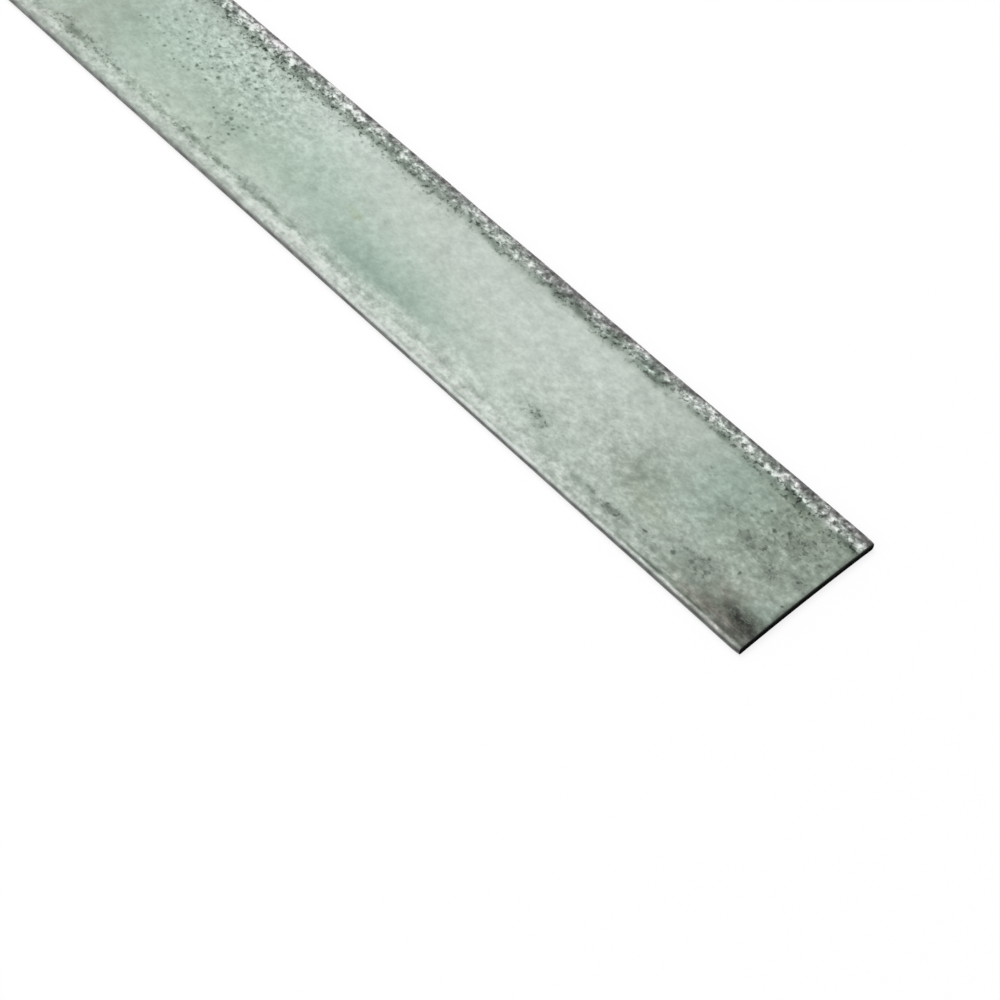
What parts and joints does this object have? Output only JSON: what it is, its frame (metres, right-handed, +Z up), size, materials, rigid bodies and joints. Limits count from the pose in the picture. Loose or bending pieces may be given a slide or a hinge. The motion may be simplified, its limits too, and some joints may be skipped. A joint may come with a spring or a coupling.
{
  "type": "flat bar",
  "caption": "Straight length of rolled steel flat bar with rounded arrises, slightly barrelled mill edges and sheared ends, in a mottled grey-green mill scale.",
  "frame": {"origin": "under the middle of the bar, on the wide face that it rests on", "axes": "+X along the bar to the end whose upper face has the shear's rollover, +Y across the width, +Z up through the thickness"},
  "size_m": [1, 0.05, 0.003],
  "materials": {
    "mill_scale": "matte mottled mill scale, bare at the arrises and dark at the cut ends"
  },
  "bodies": {
    "root": {"flat_bar": "mill_scale"}
  },
  "joints": []
}
